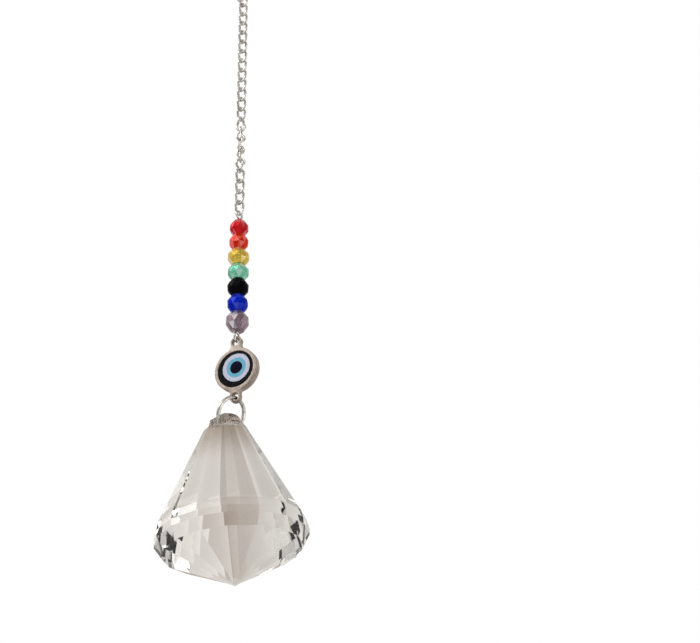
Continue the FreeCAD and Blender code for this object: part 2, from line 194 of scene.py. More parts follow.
class OrnamentDrop(bpy.types.PropertyGroup):
    """Sizes of the cut glass drop. Each band of it has a height and the radius at its foot,
    measured to the corners between the facets."""
    sides: IntProperty(name="Sides", default=16, min=6, description="Facets round the drop")
    strips: IntProperty(name="Strips", default=8, min=2,
                        description="Faces across one flute or facet")
    top_radius: length("Top radius", "Radius of the top of the neck", 3.95)
    neck: length("Neck", "Height of the neck", 3.9)
    neck_foot: length("Neck foot", "Radius at the foot of the neck", 6.15)
    flute: length("Flutes", "Height of the long flutes and the shoulder", 27.0)
    flute_foot: length("Flute foot", "Radius at the foot of the shoulder", 19.5)
    upper_bevel: length("Upper bevel", "Height of the bevel over the girdle", 2.2)
    girdle: length("Girdle", "Height of the girdle", 1.8)
    girdle_radius: length("Girdle radius", "Radius of the girdle", 20.0)
    lower_bevel: length("Lower bevel", "Height of the bevel under the girdle", 2.9)
    bevel_foot: length("Bevel foot", "Radius at the foot of the lower bevel", 18.2)
    pavilion: length("Pavilion", "Height of the pavilion", 7.5)
    pavilion_foot: length("Pavilion foot", "Radius at the foot of the pavilion", 2.8)
    point: length("Point", "Height of the point", 1.6)
    neck_flats: length("Neck flats", "Across the two flats of the neck", 6.0)
    hole: length("Hole", "Diameter of the hole through the neck", 2.8)
    over_hole: length("Over the hole", "Glass above the hole", 1.2)
    aside: length("Aside", "How far the hole is drilled off the axis of the facets", 0.7)
    edge_turn: turn("Edge turn", "From the hole's line to the front facet edge", 42.0)
    lean: turn("Lean", "How far the drop hangs askew on its ring", 6.2)


class OrnamentFinish(bpy.types.PropertyGroup):
    """Colours and finishes."""
    silver: tint("Silver wire", "Plated wire", 228, 225, 221)
    tarnish: tint("Tarnish", "Dull patches on the wire", 168, 160, 153)
    setting: tint("Setting metal", "Satin metal of the setting", 168, 156, 147)
    setting_dull: tint("Dull setting", "Dull patches on the setting", 140, 128, 118)
    red: tint("Red bead", "Glass colour", 222, 2, 16)
    orange: tint("Orange bead", "Glass colour", 246, 48, 10)
    gold: tint("Gold bead", "Glass colour", 250, 212, 84)
    mint: tint("Mint bead", "Glass colour", 126, 222, 184)
    black: tint("Black bead", "Glass colour", 6, 6, 10)
    blue: tint("Blue bead", "Glass colour", 2, 42, 205)
    purple: tint("Purple bead", "Glass colour", 146, 120, 134)
    ground: tint("Eye ground", "Enamel colour", 9, 10, 12)
    white_ring: tint("White ring", "Enamel colour", 205, 210, 228)
    blue_ring: tint("Blue ring", "Enamel colour", 108, 184, 212)
    pupil: tint("Pupil", "Enamel colour", 6, 6, 22)
    glass: tint("Glass", "Colour of the drop", 252, 250, 247)
    # painted shade: the colour at the darker edge of each flute, standing in for the shading
    # that light gives the flutes
    flute_shade: tint("Flute tint", "Colour of the drop's glass at the shaded edge of a flute",
                     217, 213, 209)
    # painted shade: the glass drawn darker and browner towards the neck
    neck_shade: tint("Neck_shade", "Colour of the drop's glass at the neck", 202, 190, 179)
    neck_matt: share("Neck roughness", "Roughness of the ground neck", 0.14)
    neck_shade_reach: length("Smoke reach", "How far the smoke reaches down from the neck", 13.0)
    # painted shade: how steeply the painted shade grows across each flute from its unshaded edge
    clear_power: share("Clear power", "How steeply a flute clouds over from its clear edge",
                       2.2, 10.0)
    glass_index: share("Glass index", "Refractive index of the drop", 1.46, 3.0)


class OrnamentStage(bpy.types.PropertyGroup):
    """Camera, light and floor."""
    distance: length("Distance", "Level distance from the camera to the ornament", 306.1)
    height: length("Height", "How far the camera stands below the hook", 283.9)
    azimuth: turn("Azimuth", "The way the camera stands round the ornament", 22.6)
    pitch: turn("Pitch", "How far the camera looks up", 27.0)
    roll: turn("Roll", "Roll of the camera", -1.56)
    aside: length("Aside", "How far the ornament hangs to the left of the camera's axis", 31.5)
    lens: FloatProperty(name="Lens", description="Focal length in millimetres", default=63.26)
    light_level: share("Light level", "Diffuse light of the room", 0.42)
    near_level: share("Near level", "Brightness of the room on the camera's side, against that "
                      "behind the ornament", 0.62)
    side_level: share("Side level", "How much brighter the room is at the right", 0.1)
    room_light: tint("Room light", "What glass and metal show of the room", 233, 230, 226)
    wall_light: tint("Wall light", "The dim patch of wall behind the ornament", 178, 165, 154)
    wall_width: share("Wall width", "Half the width of the dim patch, as a direction", 0.32)
    wall_height: share("Wall height", "Half the height of the dim patch, as a direction", 0.75)
    wall_right: FloatProperty(name="Wall right", default=-0.13,
                              description="How far right of straight behind the patch lies")
    wall_up: share("Wall up", "How far above the level the patch lies", 0.28)
    floor_radius: length("Floor radius", "Radius of the floor", 900.0)
    floor_drop: length("Floor drop", "How far the floor lies under the drop", 350.0)
    key_power: share("Key power", "Watts of the lamp at the left", 3.6, 100.0)
    front_power: share("Front power", "Watts of the large lamp beside the camera", 2.6, 100.0)
    fill_power: share("Fill power", "Watts of the small lamp above the camera", 1.5, 100.0)
    right_power: share("Right power", "Watts of the lamp at the right", 1.9, 100.0)


GROUPS = (("ornament_wire", OrnamentWire), ("ornament_beads", OrnamentBeads),
          ("ornament_eye", OrnamentEye), ("ornament_drop", OrnamentDrop),
          ("ornament_finish", OrnamentFinish), ("ornament_stage", OrnamentStage))


# ---- surfaces ----
def level(yaw):
    """Level unit vector (cos yaw, sin yaw, 0)."""
    return np.array([math.cos(yaw), math.sin(yaw), 0.0])


def round_steps(count):
    """Angles of evenly spaced points round a circle."""
    return 2 * np.pi * np.arange(count) / count


def on_circle(a):
    """Points (cos a, sin a) for an array of angles."""
    return np.stack([np.cos(a), np.sin(a)], axis=1)


def spin(points, yaw):
    """Points turned by a yaw t: x' = x cos t - y sin t and y' = x sin t + y cos t."""
    c, s = math.cos(yaw), math.sin(yaw)
    return points @ np.array([[c, s, 0.0], [-s, c, 0.0], [0.0, 0.0, 1.0]])


def band(points, wrap_rows=False, caps=False):
    """A grid of points (rows, columns, 3), closed round its columns, as a part: its points
    and its four-sided faces (i, j), (i+1, j), (i+1, j+1), (i, j+1)."""
    rows, columns = points.shape[:2]
    i, j = np.meshgrid(np.arange(rows if wrap_rows else rows - 1), np.arange(columns),
                       indexing="ij")
    i2, j2 = (i + 1) % rows, (j + 1) % columns
    faces = np.stack([i * columns + j, i2 * columns + j, i2 * columns + j2, i * columns + j2],
                     axis=-1).reshape(-1, 4).tolist()
    if caps:
        faces.append(list(range(columns)))
        faces.append(list(range((rows - 1) * columns, rows * columns)))
    return points.reshape(-1, 3), faces


def flat_fill(rings):
    """Triangles that fill a flat ring of points with other rings as holes in it."""
    points = np.concatenate(rings)
    triangles = tessellate_polygon([[Vector(p) for p in ring] for ring in rings])
    return points, [list(t) for t in triangles]


def mesh_piece(name, parts, smooth=True, merge=1e-7):
    """An object made from parts, each some points and the faces between them. Points that
    coincide are merged, and the faces are turned outwards."""
    points, faces, start = [], [], 0
    for part_points, part_faces in parts:
        points.append(part_points)
        faces.extend([[index + start for index in face] for face in part_faces])
        start += len(part_points)
    mesh = bpy.data.meshes.new(name)
    mesh.from_pydata(np.concatenate(points).tolist(), [], faces)
    work = bmesh.new()
    work.from_mesh(mesh)
    bmesh.ops.remove_doubles(work, verts=work.verts, dist=merge)
    bmesh.ops.recalc_face_normals(work, faces=work.faces)
    work.to_mesh(mesh)
    work.free()
    mesh.polygons.foreach_set("use_smooth", np.full(len(mesh.polygons), smooth))
    mesh.update()
    piece = bpy.data.objects.new(name, mesh)
    bpy.context.scene.collection.objects.link(piece)
    return piece


def place(piece, body, slot, material, *nodes):
    """Finish a piece: material, the body it rides on, and the nodes it stands for."""
    piece.data.materials.clear()
    piece.data.materials.append(material)
    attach(piece, body)
    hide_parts(*nodes)


def wire(path, reference, radius, sides, closed):
    """Round wire along a path. At a point p that runs along t, b is the part of the reference
    square to t and n = b x t; the surface is p + r (n cos a + b sin a), with a round the wire.
    The radius may change along the path."""
    if closed:
        along = np.roll(path, -1, axis=0) - np.roll(path, 1, axis=0)
    else:
        along = np.gradient(path, axis=0)
    along /= np.linalg.norm(along, axis=1, keepdims=True)
    reference = np.broadcast_to(reference, path.shape)
    b = reference - along * np.sum(reference * along, axis=1, keepdims=True)
    b /= np.linalg.norm(b, axis=1, keepdims=True)
    n = np.cross(b, along)
    a = round_steps(sides)
    r = np.broadcast_to(radius, len(path))[:, None, None]
    surface = path[:, None] + r * (n[:, None] * np.cos(a)[None, :, None]
                                   + b[:, None] * np.sin(a)[None, :, None])
    return band(surface, wrap_rows=closed, caps=not closed)


def arc(centre, first, second, start, end, count):
    """Points c + f cos a + s sin a, with the angle a from start to end."""
    a = np.linspace(start, end, count)[:, None]
    return centre + first * np.cos(a) + second * np.sin(a)


def link_path(sizes, steps=14):
    """Closed path of one curb link about its middle. The upper bow is a half circle of radius
    R in the upright plane at +twist/2, the lower one at -twist/2. Each side is two arcs of
    radius S that leave the lower bow upright, lean over by the turn and come upright again,
    where S sin(turn) = h and S (1 - cos(turn)) = R sin(twist/2), h being half of a side."""
    half_twist = sizes.link_twist / 2
    bow = (sizes.link_inside + sizes.link_wire) / 2 / math.cos(half_twist)
    half = (sizes.link_pitch + sizes.link_wire + sizes.link_gap) / 2 - bow
    across, shift = bow * math.cos(half_twist), bow * math.sin(half_twist)
    lean = 2 * math.atan(shift / half)
    curve = half / math.sin(lean)
    low = arc(np.array([across, curve - shift, -half]), np.array([0.0, -curve, 0.0]),
              UP * curve, 0.0, lean, steps)
    over = np.array([1.0, -1.0, -1.0])
    side = np.concatenate([low[:-1], (low * over)[::-1]])
    top = arc(UP * half, level(half_twist) * bow, UP * bow, 0.0, math.pi, 2 * steps)
    far_side = (side * np.array([-1.0, -1.0, 1.0]))[::-1]
    bottom = (top * over)[::-1]
    return np.concatenate([side[:-1], top[:-1], far_side[:-1], bottom[:-1]])


def loop_rise(sizes, loop):
    """Height sqrt((bend + loop)^2 - bend^2) of a loop's middle over the end of the pin's
    straight run, where the arcs of the bend and the loop touch."""
    return math.sqrt((sizes.pin_bend + loop) ** 2 - sizes.pin_bend ** 2)


def pin_loop(sizes, start, loop, yaw, up, steps=36):
    """Path of one end of the pin from its straight run outwards, in the upright plane at a
    yaw: an arc of the bend's radius away from the line, then the loop."""
    side, rise = level(yaw), UP * up
    bend = sizes.pin_bend
    angle = math.acos(bend / (bend + loop))
    small = arc(start + side * bend, -side * bend, rise * bend, 0.0, angle, steps // 3)
    large = arc(start + rise * loop_rise(sizes, loop), side * loop, rise * loop, -angle,
                sizes.pin_sweep - angle, 3 * steps)
    return np.concatenate([small[:-1], large])


def rondelle(sizes, diameter, height, seed):
    """A faceted rondelle: rows of corners on circles at the bore, the end face, the two edges
    of the belt, the other end face and the bore again. Each row of the outside is half a step
    round from the row above, so the facets between them are triangles. Every corner on the
    belt's two edges lies a little off its place."""
    n = sizes.sides
    noise = np.random.default_rng(seed)
    bore = sizes.bore / 2
    table, belt = diameter / 2 * sizes.table, height * sizes.belt / 2
    rows = ((bore, height / 2, 0.0), (table, height / 2, 0.0), (diameter / 2, belt, 0.5),
            (diameter / 2, -belt, 0.0), (table, -height / 2, 0.5), (bore, -height / 2, 0.5))
    radius, z, lag = (np.array(column)[:, None] for column in zip(*rows))
    a = 2 * np.pi * (np.arange(n)[None, :] + lag) / n
    points = np.stack([radius * np.cos(a), radius * np.sin(a), z + 0 * a], axis=-1)
    level_share, upright_share = 0.5, 1.0
    points[2:4] += (noise.uniform(-1, 1, (2, n, 3)) * sizes.unevenness
                    * (level_share, level_share, upright_share))
    i = np.arange(n)
    after = (i + 1) % n

    def zigzag(upper, lower, lower_leads):
        """Triangles between two rows; the lower row is half a step ahead or behind."""
        u, v = upper * n + i, lower * n + i
        next_u, next_v = upper * n + after, lower * n + after
        down = np.stack([u, v, next_u if lower_leads else next_v], 1)
        up = np.stack([v if lower_leads else u, next_v, next_u], 1)
        return np.concatenate([down, up]).tolist()

    faces = (zigzag(1, 2, True) + zigzag(2, 3, False) + zigzag(3, 4, True)
             + zigzag(0, 5, True))
    for outer, inner in ((1, 0), (4, 5)):
        faces += np.stack([outer * n + i, outer * n + after, inner * n + after, inner * n + i],
                          1).tolist()
    return points.reshape(-1, 3), faces


# ---- materials ----
def node(tree, kind, inputs=(), **settings):
    """A shader node with settings and inputs. An input is a value or another node's socket."""
    made = tree.nodes.new(kind)
    for key, value in settings.items():
        setattr(made, key, value)
    for key, value in dict(inputs).items():
        if isinstance(value, bpy.types.NodeSocket):
            tree.links.new(value, made.inputs[key])
        else:
            made.inputs[key].default_value = value
    return made


def maths(tree, operation, *values):
    """The result of a Math node on values or sockets."""
    return node(tree, "ShaderNodeMath", dict(enumerate(values)), operation=operation).outputs[0]


def remap(tree, value, start, end, low=0.0, high=1.0, smooth=False):
    """A value carried from the range start..end to low..high, and held at the ends."""
    return node(tree, "ShaderNodeMapRange", {"Value": value, "From Min": start, "From Max": end,
                                             "To Min": low, "To Max": high},
                interpolation_type="SMOOTHSTEP" if smooth else "LINEAR").outputs[0]


def mix_colour(tree, factor, first, second, blend="MIX"):
    """Mix of two colours, each a colour or a socket; returns the result's socket."""
    first, second = (value if isinstance(value, bpy.types.NodeSocket) else (*value, 1.0)
                     for value in (first, second))
    return node(tree, "ShaderNodeMix", {0: factor, 6: first, 7: second}, data_type="RGBA",
                blend_type=blend).outputs[2]


def new_group(name, inputs, outputs):
    """A node group that takes a vector and numbers; returns its tree, input and output."""
    tree = bpy.data.node_groups.new(name, "ShaderNodeTree")
    tree.interface.new_socket("Vector", in_out="INPUT", socket_type="NodeSocketVector")
    for way, sockets in (("INPUT", inputs), ("OUTPUT", outputs)):
        for socket in sockets:
            tree.interface.new_socket(socket, in_out=way, socket_type="NodeSocketFloat")
    return tree, tree.nodes.new("NodeGroupInput"), tree.nodes.new("NodeGroupOutput")


def use_group(tree, group, where, **inputs):
    """Place a node group in a material."""
    return node(tree, "ShaderNodeGroup", {"Vector": where, **inputs}, node_tree=group)


def cloud(tree, vector, scale, detail):
    """The height of a noise texture."""
    return node(tree, "ShaderNodeTexNoise", {"Vector": vector, "Scale": scale,
                                             "Detail": detail}).outputs["Fac"]


def handling_group():
    """Soft patches left by handling: two noises multiplied, as a mask and as a roughness."""
    name = "Handling marks"
    if name in bpy.data.node_groups:
        return bpy.data.node_groups[name]
    tree, source, result = new_group(name, ("Scale", "Smooth", "Dull"), ("Mask", "Roughness"))
    where, scale, smooth, dull = source.outputs[:4]
    both = maths(tree, "MULTIPLY", cloud(tree, where, scale, 4.0),
                 cloud(tree, where, maths(tree, "MULTIPLY", scale, 5.3), 3.0))
    thin, full = 0.16, 0.36
    mask = remap(tree, both, thin, full)
    tree.links.new(mask, result.inputs["Mask"])
    tree.links.new(remap(tree, mask, 0.0, 1.0, smooth, dull), result.inputs["Roughness"])
    return tree


def grain_group():
    """Fine surface grain: a noise, drawn out along Z where the stretch is below 1."""
    name = "Fine grain"
    if name in bpy.data.node_groups:
        return bpy.data.node_groups[name]
    tree, source, result = new_group(name, ("Scale", "Stretch"), ("Height",))
    where, scale, stretch = source.outputs[:3]
    lines = node(tree, "ShaderNodeCombineXYZ", {"X": 1.0, "Y": 1.0, "Z": stretch})
    drawn = node(tree, "ShaderNodeVectorMath", {0: where, 1: lines.outputs[0]},
                 operation="MULTIPLY")
    tree.links.new(cloud(tree, drawn.outputs[0], scale, 5.0), result.inputs["Height"])
    return tree


def new_material(name):
    """An empty material; returns it, its tree, its shader and its object coordinates."""
    material = bpy.data.materials.new(name)
    material.use_nodes = True
    tree = material.node_tree
    tree.nodes.clear()
    shader = tree.nodes.new("ShaderNodeBsdfPrincipled")
    output = tree.nodes.new("ShaderNodeOutputMaterial")
    tree.links.new(shader.outputs[0], output.inputs[0])
    where = tree.nodes.new("ShaderNodeTexCoord")
    return material, tree, shader, where.outputs["Object"]


def worked(name, clean, dull, kind, constants):
    """A material that goes over from a clean colour to a dull one in its handling marks, with
    a fine grain as bump, both of a kind in FINISHES. Returns it, its tree and its shader."""
    material, tree, shader, where = new_material(name)
    (scale, smooth, rough), (fine_scale, strength, depth, stretch) = FINISHES[kind]
    spots = use_group(tree, handling_group(), where, Scale=scale, Smooth=smooth, Dull=rough)
    colour = mix_colour(tree, spots.outputs["Mask"], clean, dull)
    height = use_group(tree, grain_group(), where, Scale=fine_scale, Stretch=stretch)
    bump = node(tree, "ShaderNodeBump", {"Height": height.outputs["Height"],
                                         "Strength": strength, "Distance": depth})
    for socket, value in (("Base Color", colour), ("Roughness", spots.outputs["Roughness"]),
                          ("Normal", bump.outputs[0])):
        tree.links.new(value, shader.inputs[socket])
    for socket, value in constants.items():
        shader.inputs[socket].default_value = value
    return material, tree, shader


def silver_wire():
    """Plated wire of the chain, pin and rings, made at its first use."""
    name, finish = "Silver wire", bpy.context.scene.ornament_finish
    return bpy.data.materials.get(name) or worked(name, finish.silver, finish.tarnish, "wire",
                                                  {"Metallic": 1.0})[0]


def bead_glass(name, colour, metallic, painted_highlight, gloss):
    """Bead glass under a clear coat with handling marks: the colour deepens in soft clouds,
    and from facet to facet painted highlights pale some facets and painted shade deepens others."""
    # the deep colour serves both the soft handling clouds and the painted shade on some facets
    darkening, shade_below, highlight_above = 0.6, 0.35, 0.6
    deep = [c * darkening for c in colour]
    pale = [c + (1 - c) * painted_highlight for c in colour]
    material, tree, shader = worked(name, colour, deep, "bead",
                                    {"Metallic": metallic, "Specular IOR Level": gloss,
                                     "Coat Weight": gloss, "Coat Roughness": 0.08})
    facet = node(tree, "ShaderNodeAttribute", attribute_name="facet").outputs["Fac"]
    base = shader.inputs["Base Color"]
    # painted highlight: facets whose random value lies above highlight_above pale towards white
    shade = mix_colour(tree, remap(tree, facet, highlight_above, 1.0),
                       base.links[0].from_socket, pale)
    # painted shade: facets whose random value lies below shade_below deepen
    tree.links.new(mix_colour(tree, remap(tree, facet, shade_below, 0.0), shade, deep), base)
    return material


def enamel(name, colour, fleck):
    """Glossy enamel with faint flecks and a soft ripple in its surface."""
    return worked(name, colour, fleck, "enamel",
                  {"Specular IOR Level": 0.03, "Coat Weight": 0.02, "Coat Roughness": 0.05})[0]


def cut_glass(name, finish, sides, first, centre, rotation, top, foot):
    """Clear glass, polished, with a trace of wear and a neck ground matt. Painted shade darkens
    and browns the glass towards the neck, and painted shade lies across each flute, from none
    along one edge to the most at the next: the unshaded share is (1 - s)^p at a share s of the
    flute's width. The drop's own frame, with its axis as Z, comes from a Mapping node."""
    material, tree, shader, where = new_material(name)
    marks = use_group(tree, handling_group(), where, Scale=160.0, Smooth=0.0, Dull=0.05)
    own = node(tree, "ShaderNodeMapping", {"Vector": where, "Location": centre,
                                           "Rotation": rotation}, vector_type="TEXTURE")
    x, y, z = node(tree, "ShaderNodeSeparateXYZ", {0: own.outputs[0]}).outputs[:3]
    # painted shade across each flute, from none at one edge to the flute shade at the next
    flutes = sides / (2 * math.pi)
    count = maths(tree, "MULTIPLY_ADD", maths(tree, "ARCTAN2", y, x), flutes,
                  2 * sides - first * flutes)
    left = maths(tree, "SUBTRACT", 1.0, maths(tree, "FRACT", count))
    clear = maths(tree, "POWER", left, finish.clear_power)
    shoulder_blend, neck_blend = 0.001, 0.0004
    above = remap(tree, z, foot - shoulder_blend, foot + shoulder_blend)
    wear = 0.97
    glass = mix_colour(tree, marks.outputs["Mask"], finish.glass,
                       [c * wear for c in finish.glass])
    flute_shaded = mix_colour(tree, remap(tree, clear, 0.0, 1.0, above, 0.0), glass,
                        finish.flute_shade)
    # painted shade: the glass grows darker and browner towards the neck
    near = remap(tree, z, top - finish.neck_shade_reach, top, smooth=True)
    tree.links.new(mix_colour(tree, near, flute_shaded, finish.neck_shade, "MULTIPLY"),
                   shader.inputs["Base Color"])
    tree.links.new(remap(tree, z, top - neck_blend, top, marks.outputs["Roughness"],
                         finish.neck_matt), shader.inputs["Roughness"])
    shader.inputs["Transmission Weight"].default_value = 1.0
    shader.inputs["IOR"].default_value = finish.glass_index
    return material


# ---- pieces ----
def link_yaw(sizes, index):
    """Yaw of a link, counted from 1: the chain turns half round over the turned links."""
    steps = min(max(index - sizes.turn_first_link + 1, 0), sizes.turn_links)
    return sizes.chain_yaw + math.pi * steps / sizes.turn_links


def place_wire(label, name, part):
    """A piece of silver wire that stands for a node and rides on the body of that name."""
    place(mesh_piece(label, [part]), name, "silver_wire", silver_wire(), name)


class ORNAMENT_OT_chain(bpy.types.Operator):
    """Make the curb chain: one round-wire link for each link of the frame"""
    bl_idname = "ornament.chain"
    bl_label = "Chain"

    def execute(self, context):
        sizes = context.scene.ornament_wire
        path = link_path(sizes)
        points, faces = wire(path, np.array([0.0, 1.0, 0.0]), sizes.link_wire / 2,
                             sizes.wire_sides, True)
        for index, name in enumerate(LINKS, 1):
            low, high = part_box(name)
            middle = np.array([0.0, 0.0, (low.z + high.z) / 2])
            copy = spin(points, link_yaw(sizes, index)) + middle
            place_wire("link_%02d" % index, name, (copy, faces))
        return {"FINISHED"}


class ORNAMENT_OT_rings(bpy.types.Operator):
    """Make the hanging ring and the jump ring"""
    bl_idname = "ornament.rings"
    bl_label = "Rings"

    def execute(self, context):
        sizes = context.scene.ornament_wire
        axis = np.array(JOINTS["link_01_swing"]["axis"])
        radius = (sizes.ring_inside + sizes.ring_wire) / 2
        path = arc(-UP * sizes.ring_inside / 2, axis * radius, UP * radius, 0.0, 2 * math.pi,
                   count=121)[:-1]
        place_wire("top_ring", "hanging_ring", wire(path, np.cross(axis, UP),
                                                    sizes.ring_wire / 2, sizes.wire_sides,
                                                    True))

        # the jump ring is cut through behind the drop's neck, and its ends meet
        joint = JOINTS["jump_ring_turn"]
        normal, middle = np.array(joint["axis"]), np.array(joint["pos_m"])
        across = np.cross(UP, normal)
        across /= np.linalg.norm(across)
        gap, start, radius = sizes.jump_cut / 2, sizes.jump_start, sizes.jump_radius
        path = arc(middle, across * radius, np.cross(normal, across) * radius, start + gap,
                   start + 2 * math.pi - gap, count=141)
        place_wire("drop_ring", "jump_ring", wire(path, normal, sizes.jump_wire / 2,
                                                  sizes.wire_sides, False))
        return {"FINISHED"}


class ORNAMENT_OT_pin(bpy.types.Operator):
    """Make the eye pin that carries the beads"""
    bl_idname = "ornament.pin"
    bl_label = "Eye pin"

    def execute(self, context):
        sizes = context.scene.ornament_wire
        wire_half = sizes.pin_wire / 2
        hang = JOINTS["pin_swing"]["pos_m"][2]
        seat = JOINTS["eye_swing"]["pos_m"][2]
        top_yaw = link_yaw(sizes, len(LINKS)) - sizes.link_twist / 2 + math.pi / 2
        bottom_yaw = math.pi / 2
        high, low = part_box("eye_pin")[1].z, seat + sizes.pin_loop_bottom
        top_middle = high - sizes.pin_loop_top - wire_half
        if top_middle > hang:
            raise RuntimeError("the pin's upper loop lies above the link that carries it")
        foot = low + loop_rise(sizes, sizes.pin_loop_bottom)
        head = top_middle - loop_rise(sizes, sizes.pin_loop_top)
        upper = pin_loop(sizes, UP * head, sizes.pin_loop_top, top_yaw, 1)
        lower = pin_loop(sizes, UP * foot, sizes.pin_loop_bottom, bottom_yaw, -1)
        run = UP * np.linspace(foot, head, 30)[1:-1, None]
        path = np.concatenate([lower[::-1], run, upper])
        lower_side, upper_side = level(bottom_yaw + math.pi / 2), level(top_yaw - math.pi / 2)
        share_up = np.clip((path[:, 2:] - foot) / (head - foot), 0, 1)
        reference = lower_side * (1 - share_up) + upper_side * share_up
        radius = np.full(len(path), wire_half)
        radius[[0, -1]] *= sizes.pin_end
        place_wire("bead_pin", "eye_pin", wire(path, reference, radius, sizes.wire_sides,
                                               False))
        return {"FINISHED"}


class ORNAMENT_OT_beads(bpy.types.Operator):
    """Make the faceted beads"""
    bl_idname = "ornament.beads"
    bl_label = "Beads"

    def execute(self, context):
        sizes = context.scene.ornament_beads
        finish = context.scene.ornament_finish
        for index, (colour, (metallic, painted_highlight, gloss)) in enumerate(BEAD_SHINES_AND_HIGHLIGHTS.items()):
            name = "bead_" + colour
            low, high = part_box(name)
            points, faces = rondelle(sizes, frame_diameter(name), high.z - low.z,
                                     index + CORNER_SEED)
            points = spin(points, sizes.yaw_step * index) + UP * (low.z + high.z) / 2
            piece = mesh_piece("rondelle_" + colour, [(points, faces)], smooth=False)
            # a random value for each facet, which picks the facets that get the painted
            # highlight and the painted shade
            facets = piece.data.attributes.new("facet", "FLOAT", "FACE")
            draw = np.random.default_rng(SHADE_SEED + index)
            facets.data.foreach_set("value", draw.uniform(0, 1, len(piece.data.polygons)))
            edges = piece.modifiers.new("edges", "BEVEL")
            edges.width, edges.segments = sizes.edge, 3
            edges.limit_method, edges.angle_limit = "ANGLE", FACET_TURN
            place(piece, name, "glass_" + colour,
                  bead_glass("Bead " + colour, getattr(finish, colour), metallic, painted_highlight,
                             gloss), name)
        return {"FINISHED"}


def frame_diameter(name):
    """Widest distance from the Z axis of a node of the frame, doubled."""
    mesh = frame["nodes"][name].data
    points = np.empty(len(mesh.vertices) * 3)
    mesh.vertices.foreach_get("co", points)
    points = points.reshape(-1, 3)
    return 2 * float(np.hypot(points[:, 0], points[:, 1]).max())


def circle_outline(x, z, radius, count, hole=False):
    """Ring of points (x + r cos a, z + r sin a) and the way out of the metal at each."""
    out = on_circle(round_steps(count))
    return np.array([x, z]) + out * radius, out * (-1 if hole else 1)


def mirrored(line, flip, closed=False):
    """A line of points, then its mirror image backwards from the end that both share. Where
    the two close a ring, the start that they share isn't repeated."""
    return np.concatenate([line, (line * flip)[-2:0 if closed else None:-1]])


def setting_outline(sizes, count):
    """Outline of the setting seen face on, from arcs: the disc of radius R, a tab of radius t
    at distance D above and below, and hollows of radius f that touch both, whose middles lie
    at height z = ((R + f)^2 - (t + f)^2 + D^2) / 2D. Returns points and outward ways."""
    disc, tab, hollow, reach = sizes.disc / 2, sizes.tab / 2, sizes.tab_hollow, sizes.tab_reach
    near, far = disc + hollow, tab + hollow
    z = (near ** 2 - far ** 2 + reach ** 2) / (2 * reach)
    x = math.sqrt(near ** 2 - z ** 2)
    disc_end = math.atan2(z, x)
    tab_start = math.atan2(z - reach, x)
    line, ways = [], []
    for cx, cz, radius, start, end, sign in (
            (0.0, 0.0, disc, 0.0, disc_end, 1),
            (x, z, hollow, disc_end + math.pi, tab_start + math.pi, -1),
            (0.0, reach, tab, tab_start, math.pi / 2, 1)):
        out = on_circle(np.linspace(start, end, count))
        line.append((np.array([cx, cz]) + out * radius)[:-1])
        ways.append((out * sign)[:-1])
    line.append(np.array([[0.0, reach + tab]]))
    ways.append(np.array([[0.0, 1.0]]))
    both = []
    for quarter in (line, ways):
        upper = mirrored(np.concatenate(quarter), (-1.0, 1.0))
        both.append(mirrored(upper, (1.0, -1.0), closed=True))
    return both


def edge_wall(outline, ways, front, back, front_edge, back_edge, z, steps=5):
    """Wall along an outline from front to back with rounded edges: a point is moved inwards
    by e (1 - sin a) and stands e (1 - cos a) behind the face, with a from 0 to a right
    angle."""
    a = np.linspace(0, math.pi / 2, steps)
    inset = np.concatenate([front_edge * (1 - np.sin(a)), back_edge * (1 - np.sin(a[::-1]))])
    y = np.concatenate([front + front_edge * (1 - np.cos(a)),
                        back - back_edge * (1 - np.cos(a[::-1]))])
    flat = outline[None] - ways[None] * inset[:, None, None]
    return np.stack([flat[..., 0], np.broadcast_to(y[:, None], flat.shape[:2]),
                     flat[..., 1] + z], axis=-1)


def waver(a, seed, size):
    """Small uneven ripple round a ring: a sum of a few sines with fixed phases."""
    noise = np.random.default_rng(seed)
    counts = np.array([3, 5, 8, 13, 21])
    phases = noise.uniform(0, 2 * math.pi, len(counts))
    heights = noise.uniform(0.3, 1.0, len(counts)) / np.sqrt(counts)
    return size * np.sum(heights * np.sin(counts * a[:, None] + phases), axis=1)


